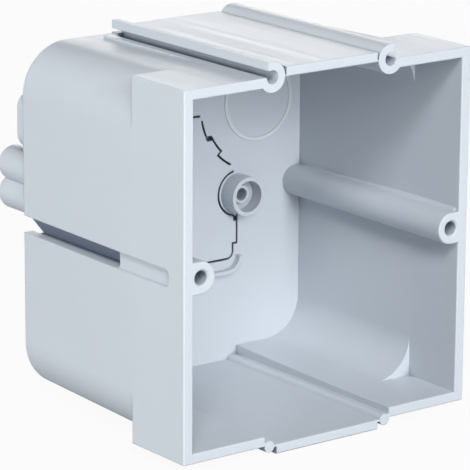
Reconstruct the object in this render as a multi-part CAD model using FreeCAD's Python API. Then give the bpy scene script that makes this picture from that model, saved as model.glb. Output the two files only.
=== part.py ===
import FreeCAD, Part
import math
import os

# Surface back box for one 60 mm device, moulded in one piece, all sizes in millimetres.
# The origin is the middle of the front plane, on the line between the two device screws.
# X runs across the mouth, Y runs back into the box and Z is up.

# Overall size
module_pitch = 71.0
stack_clearance = 0.1
height = module_pitch - stack_clearance
width = 68.0
depth = 53.5
side_wall = 2.1
panel_wall = 2.0
back_wall = 2.1
rear_rim_height = 2.4
rear_rim_wall = 2.0
cut_margin = 1.0

# Square front band and the rounded body behind it
band_depth = 16.3
shelf_wall = 2.3
body_corner_r = 10.1
body_draft_deg = 1.1
edge_round = 0.3

# Coupling hooks on the top and beads on the bottom
coupling_x = 14.0
coupling_drop = 0.1
hook_r = 2.9
bead_r = 1.15
bead_clearance = 0.15
hook_arm_reach = 1.0
hook_mouth = 1.2
rail_root = 2.6
rail_seat = 0.6
stem_thickness = 0.85
panel_gap_top = 0.3
panel_gap_bottom = 0.55
centre_panel_wall = 1.9
centre_panel_rise = 1.6
break_web = 0.4

# Posts for the device screws
screw_spacing = 60.0
screw_hole_d = 2.8
screw_hole_depth = 18.0
screw_lead_in = 0.35
post_r = 3.1
post_spread = 0.7
post_spread_y = 1.0

# Groove that cores the left post from outside, and the shallow recess in front of it
slot_height = 3.4
slot_z = -0.6
slot_front_y = 21.3
slot_corner_r = 0.8
slot_end_wall = 3.5
recess_front_y = 4.8
recess_depth = 0.8
recess_corner_r = 1.2

# Knock-out ring and fixing boss on the back wall
knockout_x = 20.5
knockout_z = 18.0
knockout_r = 8.15
knockout_line = 0.8
knockout_line_height = 0.15
knockout_groove_depth = 1.6
boss_off_rail = 1.2
boss_z = -0.7
boss_r = 4.05
boss_height = 4.0
counterbore_r = 3.2
counterbore_depth = 3.0
fixing_hole_d = 2.6
fixing_rim_r = 1.85
fixing_rim_height = 0.6

# Break-out line in the back wall, angles in degrees round the knock-out and the boss
slit = 0.45
break_skin = 0.3
break_outer_r = 14.4
break_inner_r = 13.3
break_angles = [190.5, 208, 225.5, 241.5]
break_boss_gap = 0.6
break_boss_angles = [100, 262]
break_square = 1.1
break_step_x = 15.2
break_low_x = 14.2
break_step_z = -11.1
break_low_z = -14.2
break_corner_r = 1.5
break_top_z = 16.4
break_top_gap = 0.4
break_wall_gap = 8.9
break_bridge = 2.0
break_slits = 3

# Curved lip below the break-out line
lip_x = 15.4
lip_z = -16.7
lip_corner_r = 3.1
lip_length = 19.2
lip_wall = 0.8
lip_height = 1.3

# Cable sockets and pocket standing out behind the left edge
socket_inset = 4.6
socket_low_z = 3.7
socket_spacing = 5.7
socket_r = 3.5
socket_bore_r = 1.7
socket_end_y = 63.6
socket_end_r = 1.0
socket_end_wall = 1.2
socket_rib_wall = 2.0
socket_rib_height = 2.5
socket_rib_end_y = 56.0
pocket_inset = 1.0
pocket_width = 9.0
pocket_low_z = 13.8
pocket_high_z = 25.0
pocket_corner_r = 3.0
pocket_end_y = 56.4
pocket_end_r = 0.6
pocket_wall = 1.6

# Values that follow from the sizes above
half_w = width / 2
half_h = height / 2
inner_half_w = half_w - side_wall
inner_half_h = half_h - panel_wall
inner_corner_r = body_corner_r - (side_wall + panel_wall) / 2
shelf_y = band_depth - shelf_wall
back_outer_y = depth - rear_rim_height
back_inner_y = back_outer_y - back_wall
rail_end_y = back_inner_y + rail_seat
slit_end_y = back_outer_y - break_skin
draft = math.tan(math.radians(body_draft_deg))
rear_narrowing = (back_outer_y - shelf_y) * draft
hook_z = module_pitch / 2 - coupling_drop
bead_z = hook_z - module_pitch
hook_hole_r = bead_r + bead_clearance
rail_root_x = coupling_x + rail_root
bead_root_x = coupling_x + hook_arm_reach + bead_clearance
screw_x = screw_spacing / 2
boss_x = coupling_x + boss_off_rail
socket_x = -half_w + socket_inset
pocket_left_x = -half_w + pocket_inset
pocket_right_x = pocket_left_x + pocket_width


def block(x0, x1, y0, y1, z0, z1):
    """Rectangular block between two corners."""
    return Part.makeBox(x1 - x0, y1 - y0, z1 - z0, FreeCAD.Vector(x0, y0, z0))


def rod(x, z, radius, y0, y1):
    """Round rod along Y."""
    return Part.makeCylinder(radius, y1 - y0, FreeCAD.Vector(x, y0, z), FreeCAD.Vector(0, 1, 0))


def ring(x, z, radius, wall, y0, y1):
    """Round ring along Y, its wall centred on the radius."""
    return rod(x, z, radius + wall / 2, y0, y1).cut(rod(x, z, radius - wall / 2, y0, y1))


def on_circle(centre_x, centre_z, radius, angle, y):
    """Point at one angle, in degrees, on an upright circle."""
    turn = math.radians(angle)
    return FreeCAD.Vector(centre_x + radius * math.cos(turn), y, centre_z + radius * math.sin(turn))


def upright_arc(centre_x, centre_z, radius, start, end, y):
    """Arc in an upright plane, with its two ends."""
    points = [on_circle(centre_x, centre_z, radius, turn, y) for turn in (start, (start + end) / 2, end)]
    return Part.Arc(*points).toShape(), points[0], points[2]


def rounded_wire(x0, x1, z0, z1, radius, y):
    """Closed rectangle with round corners, upright at one depth."""
    arcs = [
        upright_arc(x1 - radius, z1 - radius, radius, 0, 90, y),
        upright_arc(x0 + radius, z1 - radius, radius, 90, 180, y),
        upright_arc(x0 + radius, z0 + radius, radius, 180, 270, y),
        upright_arc(x1 - radius, z0 + radius, radius, 270, 360, y),
    ]
    edges = []
    for index, (arc, first, last) in enumerate(arcs):
        following = arcs[(index + 1) % len(arcs)][1]
        edges += [arc, Part.LineSegment(last, following).toShape()]
    return Part.Wire(edges)


def rounded_block(x0, x1, z0, z1, radius, y0, y1):
    """Block along Y whose long edges are round."""
    face = Part.Face(rounded_wire(x0, x1, z0, z1, radius, y0))
    return face.extrude(FreeCAD.Vector(0, y1 - y0, 0))


def drafted_block(half_x, half_z, radius, y0, y1, y_full):
    """Rounded block that has its full size at y_full and narrows by the draft towards the back."""
    wires = []
    for y in (y0, y1):
        inset = (y - y_full) * draft
        wires.append(rounded_wire(inset - half_x, half_x - inset, inset - half_z, half_z - inset, radius, y))
    return Part.makeLoft(wires, True, True)


def strip(start, end, wall, y0, y1):
    """Straight strip, one wall thick, between two points in X and Z."""
    length = math.dist(start, end)
    aside_x = (start[1] - end[1]) / length * wall / 2
    aside_z = (end[0] - start[0]) / length * wall / 2
    corners = [
        FreeCAD.Vector(start[0] - aside_x, y0, start[1] - aside_z),
        FreeCAD.Vector(end[0] - aside_x, y0, end[1] - aside_z),
        FreeCAD.Vector(end[0] + aside_x, y0, end[1] + aside_z),
        FreeCAD.Vector(start[0] + aside_x, y0, start[1] + aside_z),
    ]
    face = Part.Face(Part.makePolygon(corners + corners[:1]))
    return face.extrude(FreeCAD.Vector(0, y1 - y0, 0))


def curved_strip(centre_x, centre_z, radius, angles, wall, y0, y1):
    """Strip along an arc, one wall thick, between two angles in degrees."""
    outer, outer_first, outer_last = upright_arc(centre_x, centre_z, radius + wall / 2, *angles, y0)
    inner, inner_first, inner_last = upright_arc(centre_x, centre_z, radius - wall / 2, *angles, y0)
    first_end = Part.LineSegment(inner_first, outer_first).toShape()
    last_end = Part.LineSegment(outer_last, inner_last).toShape()
    face = Part.Face(Part.Wire([first_end, outer, last_end, inner]))
    return face.extrude(FreeCAD.Vector(0, y1 - y0, 0))


def both_sides(shape):
    """The shape and its mirror image across the middle of the box."""
    return [shape, shape.mirror(FreeCAD.Vector(0, 0, 0), FreeCAD.Vector(1, 0, 0))]


def front_band():
    """Square band round the mouth, with its four outer corners rounded."""
    band = block(-half_w, half_w, 0, band_depth, -half_h, half_h)
    corners = [edge for edge in band.Edges if edge.BoundBox.YLength > edge_round]
    return band.makeFillet(edge_round, corners)


def shell():
    """Band and rounded body, hollow from the front and recessed at the rear."""
    body = drafted_block(half_w, half_h, body_corner_r, band_depth, depth, band_depth)
    mouth = block(-inner_half_w, inner_half_w, 0, shelf_y, -inner_half_h, inner_half_h)
    cavity = drafted_block(inner_half_w, inner_half_h, inner_corner_r, shelf_y, back_inner_y, shelf_y)
    rim_r = body_corner_r - rear_rim_wall
    rim_half_w = half_w - rear_rim_wall
    rim_half_h = half_h - rear_rim_wall
    recess = drafted_block(rim_half_w, rim_half_h, rim_r, back_outer_y, depth, band_depth)
    return front_band().fuse(body).cut(mouth.fuse(cavity)).cut(recess)


def rail_windows():
    """Openings in the top and bottom walls for the rails, cut through to the cavity between the rails."""
    outer_z = half_h + cut_margin
    cavity_z = inner_half_h - rear_narrowing - cut_margin
    return [
        block(-rail_root_x, rail_root_x, 0, rail_end_y, inner_half_h, outer_z),
        block(-rail_root_x, rail_root_x, 0, rail_end_y, -outer_z, -inner_half_h),
        block(-coupling_x, coupling_x, 0, back_inner_y, cavity_z, outer_z),
        block(-bead_root_x, bead_root_x, 0, back_inner_y, -outer_z, -cavity_z),
    ]


def hook(y0, y1):
    """One hook on the right: a ring open outwards above the side panel."""
    hook_ring = rod(coupling_x, hook_z, hook_r, y0, y1)
    hole = rod(coupling_x, hook_z, hook_hole_r, y0, y1)
    arm_end_x = coupling_x + hook_arm_reach
    outer_x = coupling_x + hook_r + cut_margin
    top_z = hook_z + hook_r
    arm = block(coupling_x, arm_end_x, y0, y1, hook_z + hook_hole_r, top_z)
    outside = block(arm_end_x, outer_x, y0, y1, half_h, top_z)
    mouth = block(coupling_x, outer_x, y0, y1, half_h, half_h + hook_mouth)
    root = block(coupling_x, rail_root_x, y0, y1, inner_half_h, half_h)
    return hook_ring.fuse([arm, root]).cut([outside, mouth, hole])


def top_rails(y0, y1):
    """Both hooks, the raised centre panel and the thin webs along which it breaks out."""
    panel_end = coupling_x - hook_r - panel_gap_top
    web_end = coupling_x - hook_hole_r - panel_gap_top
    panel_top = half_h + centre_panel_rise
    panel_low = panel_top - centre_panel_wall
    panel = block(-panel_end, panel_end, y0, y1, panel_low, panel_top)
    web = block(panel_end, web_end, y0, y1, panel_low, panel_low + break_web)
    return panel.fuse(both_sides(hook(y0, y1)) + both_sides(web))


def bottom_rails(y0, y1):
    """Both beads, the lowered centre panel and its thin webs."""
    bead = rod(coupling_x, bead_z, bead_r, y0, y1)
    root = block(bead_root_x, rail_root_x, y0, y1, -half_h, -inner_half_h)
    stem = block(coupling_x, bead_root_x, y0, y1, -half_h, -half_h + stem_thickness)
    panel_end = coupling_x - bead_r - panel_gap_bottom
    panel = block(-panel_end, panel_end, y0, y1, -half_h - centre_panel_wall, -half_h)
    web = block(panel_end, coupling_x, y0, y1, -half_h - break_web, -half_h)
    return panel.fuse(both_sides(bead.fuse([root, stem])) + both_sides(web))


def rail_ends():
    """Back wall carried up and down to close the ends of the raised and lowered panels."""
    web_top = half_h + centre_panel_rise - centre_panel_wall + break_web
    top = block(-coupling_x, coupling_x, back_inner_y, back_outer_y, 0, web_top)
    bottom = block(-bead_root_x, bead_root_x, back_inner_y, back_outer_y, -half_h - break_web, 0)
    return [top, bottom]


def screw_post(side):
    """Post of one device screw, joined to its wall by a web that spreads a little just before the wall."""
    post = rod(side * screw_x, 0, post_r, 0, back_inner_y)
    wall_x = half_w - side_wall / 2
    near_x, far_x = sorted([side * screw_x, side * wall_x])
    web = block(near_x, far_x, 0, back_inner_y, -post_r, post_r)
    spread_x = inner_half_w - post_spread
    foot_z = post_r + wall_x - spread_x
    corners = [(spread_x, -post_r), (spread_x, post_r), (wall_x, foot_z), (wall_x, -foot_z)]
    points = [FreeCAD.Vector(side * x, post_spread_y, z) for x, z in corners + corners[:1]]
    spread = Part.Face(Part.makePolygon(points)).extrude(FreeCAD.Vector(0, back_inner_y - post_spread_y, 0))
    return post.fuse([web, spread])


def screw_hole(side):
    """Pilot hole of one device screw, with a short lead-in."""
    radius = screw_hole_d / 2
    hole = rod(side * screw_x, 0, radius, 0, screw_hole_depth)
    start = FreeCAD.Vector(side * screw_x, 0, 0)
    back = FreeCAD.Vector(0, 1, 0)
    lead_in = Part.makeCone(radius + screw_lead_in, radius, screw_lead_in, start, back)
    return hole.fuse(lead_in)


def round_front_end(cut, radius):
    """The cut with the two corners of its front end rounded."""
    front_y = cut.BoundBox.YMin
    corners = []
    for edge in cut.Edges:
        if edge.BoundBox.YMax < front_y + radius and edge.BoundBox.ZLength < radius:
            corners.append(edge)
    return cut.makeFillet(radius, corners)


def left_wall_cuts():
    """Groove that runs out of the rear edge, and the shallow recess in front of it."""
    low = slot_z - slot_height / 2
    high = slot_z + slot_height / 2
    outer_x = -half_w - cut_margin
    slot_inner_x = -screw_x + post_r - slot_end_wall
    slot = block(outer_x, slot_inner_x, slot_front_y, depth + cut_margin, low, high)
    recess_inner_x = -half_w + recess_depth
    recess_end_y = slot_front_y + slot_corner_r
    recess = block(outer_x, recess_inner_x, recess_front_y, recess_end_y, low, high)
    return [round_front_end(slot, slot_corner_r), round_front_end(recess, recess_corner_r)]


def knockout():
    """Raised line of the knock-out inside, and the matching groove behind it."""
    line_y = back_inner_y - knockout_line_height
    groove_y = back_outer_y - knockout_groove_depth
    line = ring(knockout_x, knockout_z, knockout_r, knockout_line, line_y, back_inner_y)
    groove = ring(knockout_x, knockout_z, knockout_r, knockout_line, groove_y, back_outer_y)
    return line, groove


def fixing_boss():
    """Round boss on the back wall and the stepped hole through it."""
    front = back_inner_y - boss_height
    boss = rod(boss_x, boss_z, boss_r, front, back_inner_y)
    floor = front + counterbore_depth
    counterbore = rod(boss_x, boss_z, counterbore_r, front, floor)
    rim = rod(boss_x, boss_z, fixing_rim_r, floor - fixing_rim_height, floor)
    hole = rod(boss_x, boss_z, fixing_hole_d / 2, front, back_outer_y)
    return boss, counterbore.cut(rim).fuse(hole)


def slit_line(start, end):
    """Straight slit in the back wall between two points in X and Z, open inside and closed by a thin skin."""
    return strip(start, end, slit, back_inner_y - cut_margin, slit_end_y)


def slit_path(points):
    """Joined straight slits, each longer by half a slit at both ends so that the corners meet."""
    cuts = []
    for start, end in zip(points, points[1:]):
        share = slit / 2 / math.dist(start, end)
        more_x = (end[0] - start[0]) * share
        more_z = (end[1] - start[1]) * share
        cuts.append(slit_line((start[0] - more_x, start[1] - more_z), (end[0] + more_x, end[1] + more_z)))
    return cuts


def slit_arc(centre_x, centre_z, radius, angles):
    """Curved slit in the back wall, as deep as the straight ones."""
    return curved_strip(centre_x, centre_z, radius, angles, slit, back_inner_y - cut_margin, slit_end_y)


def slit_square(x, z):
    """Square widening of the slit, which starts the break."""
    half = break_square / 2
    return block(x - half, x + half, back_inner_y - cut_margin, slit_end_y, z - half, z + half)


def slit_row(right_x, z):
    """Level row of equal slits with bridges between them, ending short of the left wall."""
    left_x = -inner_half_w + break_wall_gap
    span = (right_x - left_x - (break_slits - 1) * break_bridge) / break_slits
    row = []
    for index in range(break_slits):
        end_x = right_x - index * (span + break_bridge)
        row.append(slit_line((end_x - span, z), (end_x, z)))
    return row


def break_out_line():
    """Broken line of slits that steps round the knock-out and the boss to the left wall."""
    cuts = []
    for index, radius in enumerate([break_outer_r, break_inner_r, break_outer_r]):
        cuts.append(slit_arc(knockout_x, knockout_z, radius, break_angles[index : index + 2]))
    for angle in break_angles[1:3]:
        step = [on_circle(knockout_x, knockout_z, radius, angle, 0) for radius in (break_outer_r, break_inner_r)]
        cuts += slit_path([(point.x, point.z) for point in step])
    first_step = on_circle(knockout_x, knockout_z, (break_outer_r + break_inner_r) / 2, break_angles[1], 0)
    cuts.append(slit_square(first_step.x, first_step.z))
    boss_gap_r = boss_r + break_boss_gap
    cuts.append(slit_square(break_step_x - (break_square - slit) / 2, boss_z - boss_gap_r - break_square / 2))
    cuts.append(slit_arc(boss_x, boss_z, boss_gap_r, break_boss_angles))
    corner_x = break_low_x - break_corner_r
    corner_z = break_low_z + break_corner_r
    cuts += slit_path(
        [
            (break_step_x, boss_z - boss_gap_r),
            (break_step_x, break_step_z),
            (break_low_x, break_step_z),
            (break_low_x, corner_z),
        ]
    )
    cuts.append(slit_arc(corner_x, corner_z, break_corner_r, [270, 360]))
    top_x = on_circle(knockout_x, knockout_z, break_outer_r, break_angles[0], 0).x
    return cuts + slit_row(corner_x, break_low_z) + slit_row(top_x - break_top_gap, break_top_z)


def curved_lip():
    """Low lip that turns the corner under the break-out line."""
    y0 = back_inner_y - lip_height
    corner_x = lip_x - lip_corner_r
    corner = curved_strip(
        corner_x, lip_z + lip_corner_r, lip_corner_r, [270, 360], lip_wall, y0, back_inner_y
    )
    return corner.fuse(strip((corner_x - lip_length, lip_z), (corner_x, lip_z), lip_wall, y0, back_inner_y))


def round_rear_end(piece, radius):
    """The piece with the edges of its rear end rounded."""
    rear_y = piece.BoundBox.YMax
    return piece.makeFillet(radius, [edge for edge in piece.Edges if edge.BoundBox.YMin > rear_y - radius])


def rear_sockets():
    """Two blind cable sockets, one above the other with a rib below, and their bores."""
    outside = []
    bores = []
    for z in (socket_low_z, socket_low_z + socket_spacing):
        outside.append(round_rear_end(rod(socket_x, z, socket_r, back_inner_y, socket_end_y), socket_end_r))
        bores.append(rod(socket_x, z, socket_bore_r, back_inner_y - cut_margin, socket_end_y - socket_end_wall))
    rib_x = socket_x - socket_rib_wall / 2
    rib_foot_z = socket_low_z - socket_r - socket_rib_height
    corners = [(back_inner_y, socket_low_z), (back_inner_y, rib_foot_z), (back_outer_y, rib_foot_z)]
    corners += [(socket_rib_end_y, socket_low_z - socket_r), (socket_rib_end_y, socket_low_z)]
    points = [FreeCAD.Vector(rib_x, y, z) for y, z in corners + corners[:1]]
    outside.append(Part.Face(Part.makePolygon(points)).extrude(FreeCAD.Vector(socket_rib_wall, 0, 0)))
    return outside, bores


def rear_pocket():
    """Shallow pocket bulging out of the back wall above the sockets."""
    outside = rounded_block(
        pocket_left_x, pocket_right_x, pocket_low_z, pocket_high_z, pocket_corner_r, back_inner_y, pocket_end_y
    )
    inside = rounded_block(
        -inner_half_w + rear_narrowing,
        pocket_right_x - pocket_wall,
        pocket_low_z + pocket_wall,
        pocket_high_z - pocket_wall,
        pocket_corner_r - pocket_wall,
        back_inner_y,
        pocket_end_y - pocket_wall,
    )
    return round_rear_end(outside, pocket_end_r), inside


def soften_front(body):
    """Rounds the front edges of the band, the panels and the posts, which are longer than any on the rails."""
    long_edge = 3 * post_r
    front_edges = [edge for edge in body.Edges if edge.BoundBox.YMax < edge_round and edge.Length > long_edge]
    return body.makeFillet(edge_round, front_edges)


def back_box():
    """The whole moulding as one solid."""
    body = shell().cut(rail_windows())
    knockout_ring, knockout_groove = knockout()
    boss, boss_hole = fixing_boss()
    sockets, socket_bores = rear_sockets()
    pocket, pocket_inside = rear_pocket()
    additions = [top_rails(0, rail_end_y), bottom_rails(0, rail_end_y), screw_post(-1), screw_post(1), boss]
    additions += rail_ends() + sockets + [pocket, knockout_ring, curved_lip()]
    body = body.fuse(additions)
    cuts = [screw_hole(-1), screw_hole(1), boss_hole, knockout_groove, pocket_inside]
    cuts += left_wall_cuts() + socket_bores + break_out_line()
    return soften_front(body.cut(cuts).removeSplitter())


box = back_box()
os.makedirs("parts", exist_ok=True)
box.exportStep("parts/back_box.step")
print("solids", len(box.Solids), "valid", box.isValid(), "volume", round(box.Volume, 1))
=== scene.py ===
import math
import bpy
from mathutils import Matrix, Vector


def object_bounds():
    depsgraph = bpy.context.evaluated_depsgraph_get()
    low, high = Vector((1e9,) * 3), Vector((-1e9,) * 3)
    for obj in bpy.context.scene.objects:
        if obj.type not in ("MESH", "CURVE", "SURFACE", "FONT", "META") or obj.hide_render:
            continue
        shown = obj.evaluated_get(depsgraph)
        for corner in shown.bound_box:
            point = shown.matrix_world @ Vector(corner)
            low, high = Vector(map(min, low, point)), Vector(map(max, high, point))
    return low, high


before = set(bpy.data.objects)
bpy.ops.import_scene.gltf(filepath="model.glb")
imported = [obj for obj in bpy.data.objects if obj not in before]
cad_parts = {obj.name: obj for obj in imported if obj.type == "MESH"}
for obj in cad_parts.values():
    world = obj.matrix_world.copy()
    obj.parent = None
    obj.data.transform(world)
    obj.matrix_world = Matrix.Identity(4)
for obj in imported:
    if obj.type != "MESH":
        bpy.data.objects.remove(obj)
cadLow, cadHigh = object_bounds()
mm = 0.001
print("frame loaded, box", [round(v / mm, 2) for v in (*cadLow, *cadHigh)], "mm")


def linearColour(hexCode):
    values = [int(hexCode[i:i + 2], 16) / 255 for i in (1, 3, 5)]
    return [v / 12.92 if v <= 0.04045 else ((v + 0.055) / 1.055) ** 2.4 for v in values] + [1.0]


def addNode(tree, kind, inputs=None, **settings):
    node = tree.nodes.new(kind)
    for name, value in settings.items():
        setattr(node, name, value)
    for name, value in (inputs or {}).items():
        if isinstance(value, bpy.types.NodeSocket):
            tree.links.new(value, node.inputs[name])
        else:
            node.inputs[name].default_value = value
    return node


def newMaterial(name):
    material = bpy.data.materials.new(name)
    material.use_nodes = True
    material.node_tree.nodes.clear()
    return material


# the camera stands front left of the box and a little above it, as in the photograph
cameraView = {
    "place": (-365.427, -451.382, 158.558),   # mm
    "turn": (75.0309, -0.3114, -37.1459),     # degrees about X, Y and Z
    "lens": 245.56,                           # mm
    "sensor": 36.0,                           # mm
    "near": 10.0,                             # mm, nothing closer is drawn
    "far": 20000.0,                           # mm
}
cameraData = bpy.data.cameras.new("photoCamera")
cameraData.lens = cameraView["lens"]
cameraData.sensor_width = cameraView["sensor"]
cameraData.clip_start = cameraView["near"] * mm
cameraData.clip_end = cameraView["far"] * mm
camera = bpy.data.objects.new("photoCamera", cameraData)
camera.location = [v * mm for v in cameraView["place"]]
camera.rotation_euler = [math.radians(v) for v in cameraView["turn"]]
bpy.context.scene.collection.objects.link(camera)
bpy.context.scene.camera = camera
print("camera set")


# moulded ABS, satin from a finely eroded mould: a soft sheen, and edges that catch a thin line of light
mouldedPlastic = {
    "colour": "#C3CAD1",
    "colourDeep": "#BEC5CD",         # a shade deeper where the melt flowed last
    "roughness": 0.36,
    "roughnessSpread": 0.05,
    "ior": 1.54,
    "cloud": 22.0,                   # mm, size of the flow clouds
    "cloudDetail": 3.0,
    "drag": 1.6,                     # mm between the faint lines that the core drags as it is drawn out
    "dragDetail": 2.0,
    "dragStretch": 0.03,             # how little they change from front to back
    "dragRange": (0.3, 0.7),         # part of the pattern that the gloss follows
    "grain": 0.45,                   # mm, mould grain, really 0.05 mm and drawn coarser so that it shows
    "grainDetail": 2.0,
    "grainHeight": 0.0012,           # mm
    "sink": 14.0,                    # mm, slow waves where the wall shrank
    "sinkDetail": 1.0,
    "sinkHeight": 0.010,             # mm
    "edgeEase": 0.25,                # mm, soft edges as the mould leaves them
    "edgeSamples": 6,
    "gapColour": "#56607A",          # deep in the slits and gaps, where little light is left
    "gapReach": 3.0,                 # mm between walls that count as a gap
    "gapRange": (0.05, 0.5),         # share of open sky, from where a gap is darkest to where it ends
    "gapSamples": 8,
}

# the left post is cored from outside by a groove, and its floor lies in deep shade
grooveShade = {
    "colour": "#6A7486",
    "floor": (-31.6, -30.6),         # mm across, from where the walls darken to the floor
    "postGap": 1.0,                  # mm beyond the floor, where the shade stops inside the post's wall
    "front": 21.0,                   # mm from the front of the box
    "middle": -0.6,                  # mm up
    "height": 3.44,                  # mm
}

# the raised line of the knock-out is a thin web, a little paler because light comes through it
knockoutLine = {
    "colour": "#E2E7EC",
    "centre": (20.5, 0.0, 18.0),     # mm
    "radius": 8.15,                  # mm
    "width": 0.8,                    # mm
    "fade": (0.6, 1.3),              # from full to nothing, in half widths from its middle
    "share": 0.38,                   # how much of the paler colour shows
    "insideEnd": 49.3,               # mm from the front, just past the inner face of the back wall
}


def makeMouldedAbs():
    p, groove, line = mouldedPlastic, grooveShade, knockoutLine
    material = newMaterial("mouldedAbsLightGrey")
    tree = material.node_tree
    place = addNode(tree, "ShaderNodeTexCoord").outputs["Object"]
    across, depth, height = addNode(tree, "ShaderNodeSeparateXYZ", {"Vector": place}).outputs
    alongDraw = addNode(
        tree, "ShaderNodeMapping", {"Vector": place, "Scale": (1.0, p["dragStretch"], 1.0)}
    )

    # clouds in the colour, drag lines in the gloss, and grain and sink waves in the surface
    pattern = {}
    for name in ("cloud", "drag", "grain", "sink"):
        vector = alongDraw.outputs["Vector"] if name == "drag" else place
        pattern[name] = addNode(
            tree, "ShaderNodeTexNoise",
            {"Vector": vector, "Scale": 1 / (p[name] * mm), "Detail": p[name + "Detail"]},
        ).outputs["Fac"]
    clouded = addNode(
        tree, "ShaderNodeMix",
        {0: pattern["cloud"], 6: linearColour(p["colourDeep"]), 7: linearColour(p["colour"])},
        data_type="RGBA",
    )

    # paler along the knock-out's line, on the inner face only
    flat = addNode(tree, "ShaderNodeMapping", {"Vector": place, "Scale": (1.0, 0.0, 1.0)})
    fromCentre = addNode(
        tree, "ShaderNodeVectorMath",
        {0: flat.outputs["Vector"], 1: [v * mm for v in line["centre"]]}, operation="DISTANCE",
    )
    offLine = addNode(
        tree, "ShaderNodeMath",
        {0: fromCentre.outputs["Value"], 1: line["radius"] * mm}, operation="SUBTRACT",
    )
    awayFromLine = addNode(tree, "ShaderNodeMath", {0: offLine.outputs[0]}, operation="ABSOLUTE")
    fadeStart, fadeEnd = [v * line["width"] / 2 * mm for v in line["fade"]]
    onLine = addNode(
        tree, "ShaderNodeMapRange",
        {
            "Value": awayFromLine.outputs[0], "From Min": fadeStart, "From Max": fadeEnd,
            "To Min": line["share"], "To Max": 0.0,
        },
    )
    inside = addNode(
        tree, "ShaderNodeMath", {0: depth, 1: line["insideEnd"] * mm}, operation="LESS_THAN"
    )
    lineShare = addNode(
        tree, "ShaderNodeMath", {0: onLine.outputs["Result"], 1: inside.outputs[0]}, operation="MULTIPLY"
    )
    withLine = addNode(
        tree, "ShaderNodeMix",
        {0: lineShare.outputs[0], 6: clouded.outputs[2], 7: linearColour(line["colour"])},
        data_type="RGBA",
    )

    # darker towards the floor of the left groove
    wallStart, floorStart = [v * mm for v in groove["floor"]]
    towardsFloor = addNode(
        tree, "ShaderNodeMapRange", {"Value": across, "From Min": wallStart, "From Max": floorStart}
    )
    outsidePost = addNode(
        tree, "ShaderNodeMath",
        {0: across, 1: floorStart + groove["postGap"] * mm}, operation="LESS_THAN",
    )
    behindFront = addNode(
        tree, "ShaderNodeMath", {0: depth, 1: groove["front"] * mm}, operation="GREATER_THAN"
    )
    betweenWalls = addNode(
        tree, "ShaderNodeMath",
        {0: height, 1: groove["middle"] * mm, 2: groove["height"] / 2 * mm},
        operation="COMPARE",
    )
    grooveShare = towardsFloor.outputs["Result"]
    for limit in (outsidePost, behindFront, betweenWalls):
        grooveShare = addNode(
            tree, "ShaderNodeMath", {0: grooveShare, 1: limit.outputs[0]}, operation="MULTIPLY"
        ).outputs[0]
    withGroove = addNode(
        tree, "ShaderNodeMix",
        {0: grooveShare, 6: withLine.outputs[2], 7: linearColour(groove["colour"])},
        data_type="RGBA",
    )

    # darker in every narrow gap, by how closed in the surface is
    gaps = addNode(
        tree, "ShaderNodeAmbientOcclusion", {"Distance": p["gapReach"] * mm}, samples=p["gapSamples"]
    )
    openShare = addNode(
        tree, "ShaderNodeMapRange",
        {"Value": gaps.outputs["AO"], "From Min": p["gapRange"][0], "From Max": p["gapRange"][1]},
    )
    surface = addNode(
        tree, "ShaderNodeMix",
        {0: openShare.outputs["Result"], 6: linearColour(p["gapColour"]), 7: withGroove.outputs[2]},
        data_type="RGBA",
    )

    gloss = addNode(
        tree, "ShaderNodeMapRange",
        {
            "Value": pattern["drag"], "From Min": p["dragRange"][0], "From Max": p["dragRange"][1],
            "To Min": p["roughness"] - p["roughnessSpread"],
            "To Max": p["roughness"] + p["roughnessSpread"],
        },
    )
    normal = addNode(
        tree, "ShaderNodeBevel", {"Radius": p["edgeEase"] * mm}, samples=p["edgeSamples"]
    ).outputs["Normal"]
    for name in ("sink", "grain"):
        normal = addNode(
            tree, "ShaderNodeBump",
            {
                "Height": pattern[name], "Distance": p[name + "Height"] * mm,
                "Strength": 1.0, "Normal": normal,
            },
        ).outputs["Normal"]
    shader = addNode(
        tree, "ShaderNodeBsdfPrincipled",
        {
            "Base Color": surface.outputs[2], "Roughness": gloss.outputs["Result"],
            "IOR": p["ior"], "Normal": normal,
        },
    )
    addNode(tree, "ShaderNodeOutputMaterial", {"Surface": shader.outputs["BSDF"]})
    return material


# the box is one moulding, so the frame's own shape stays and takes the finished plastic
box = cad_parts["back_box"]
plastic = makeMouldedAbs()
for slot in box.material_slots:
    slot.material = plastic
print("plastic given to the box,", len(box.data.polygons), "faces")


# plain studio: painted board for the floor, matt and pale, so only a faint shadow shows on it
studio = {
    "floorColour": "#B8BABD",
    "floorSize": 4000.0,       # mm
    "floorRoughness": 0.7,
    "floorGlow": 0.94,         # share of plain white that the camera sees
    "worldLight": 0.04,
    "backdrop": "#FFFFFF",
}
softLights = {                 # place and size in mm, power in W
    "lowFrontSoftbox": {"place": (-76, -1091, 115), "size": 220, "power": 3.9, "shine": False},
    "frontSoftbox": {"place": (-71, -1017, 412), "size": 220, "power": 4.2, "shine": False},
    "frontLeftSoftbox": {"place": (-326, -895, 550), "size": 250, "power": 3.0, "shine": False},
    "keySoftbox": {"place": (-525, -626, 736), "size": 280, "power": 6.3, "shine": False},
    "leftSoftbox": {"place": (-1067, 188, 191), "size": 400, "power": 6.8, "shine": False},
    "rightSoftbox": {"place": (1052, 148, 285), "size": 400, "power": 6.0, "shine": False},
    "rearSoftbox": {"place": (639, 849, 285), "size": 350, "power": 1.0, "shine": True},
    "lowRearSoftbox": {"place": (285, 1060, 110), "size": 500, "power": 4.0, "shine": False},
}
lightsAim = (0, 20, 0)         # mm, the middle of the box


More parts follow.
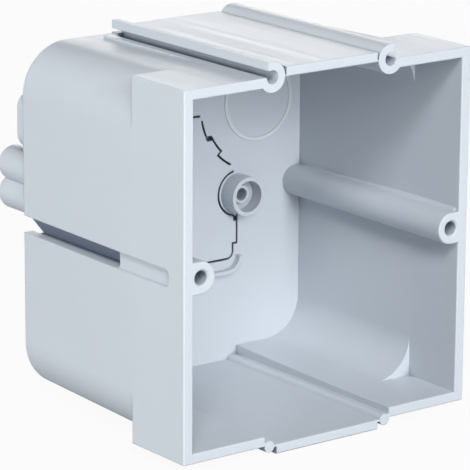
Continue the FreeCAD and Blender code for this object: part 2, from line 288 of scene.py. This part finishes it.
def makeFloor():
    p = studio
    bpy.ops.mesh.primitive_plane_add(size=p["floorSize"] * mm, location=(0, 0, cadLow.z))
    floor = bpy.context.object
    floor.name = "studioFloor"
    material = newMaterial("paintedBoardPale")
    tree = material.node_tree
    path = addNode(tree, "ShaderNodeLightPath")
    matt = addNode(
        tree, "ShaderNodeBsdfPrincipled",
        {"Base Color": linearColour(p["floorColour"]), "Roughness": p["floorRoughness"]},
    )
    white = addNode(tree, "ShaderNodeEmission", {"Color": linearColour(p["backdrop"]), "Strength": 1.0})
    share = addNode(
        tree, "ShaderNodeMath",
        {0: path.outputs["Is Camera Ray"], 1: p["floorGlow"]}, operation="MULTIPLY",
    )
    mixed = addNode(
        tree, "ShaderNodeMixShader", {0: share.outputs[0], 1: matt.outputs[0], 2: white.outputs[0]}
    )
    addNode(tree, "ShaderNodeOutputMaterial", {"Surface": mixed.outputs[0]})
    floor.data.materials.append(material)
    print("floor made")


def makeBackdrop():
    p = studio
    world = bpy.data.worlds.new("studioWorld")
    bpy.context.scene.world = world
    world.use_nodes = True
    tree = world.node_tree
    tree.nodes.clear()
    path = addNode(tree, "ShaderNodeLightPath")
    ambient = addNode(
        tree, "ShaderNodeBackground", {"Color": linearColour(p["backdrop"]), "Strength": p["worldLight"]}
    )
    white = addNode(
        tree, "ShaderNodeBackground", {"Color": linearColour(p["backdrop"]), "Strength": 1.0}
    )
    mixed = addNode(
        tree, "ShaderNodeMixShader",
        {0: path.outputs["Is Camera Ray"], 1: ambient.outputs[0], 2: white.outputs[0]},
    )
    addNode(tree, "ShaderNodeOutputWorld", {"Surface": mixed.outputs[0]})
    print("backdrop made")


def makeLights():
    for name, light in softLights.items():
        data = bpy.data.lights.new(name, "AREA")
        data.shape = "SQUARE"
        data.size = light["size"] * mm
        data.energy = light["power"]
        lamp = bpy.data.objects.new(name, data)
        place = Vector(light["place"]) * mm
        lamp.location = place
        lamp.visible_glossy = light["shine"]    # when off, the flat top has no glare seen from opposite
        lamp.rotation_mode = "QUATERNION"
        lamp.rotation_quaternion = (Vector(lightsAim) * mm - place).to_track_quat("-Z", "Y")
        bpy.context.scene.collection.objects.link(lamp)
    print(len(softLights), "soft lights set")


makeFloor()
makeBackdrop()
makeLights()
bpy.context.scene.view_settings.view_transform = "Standard"
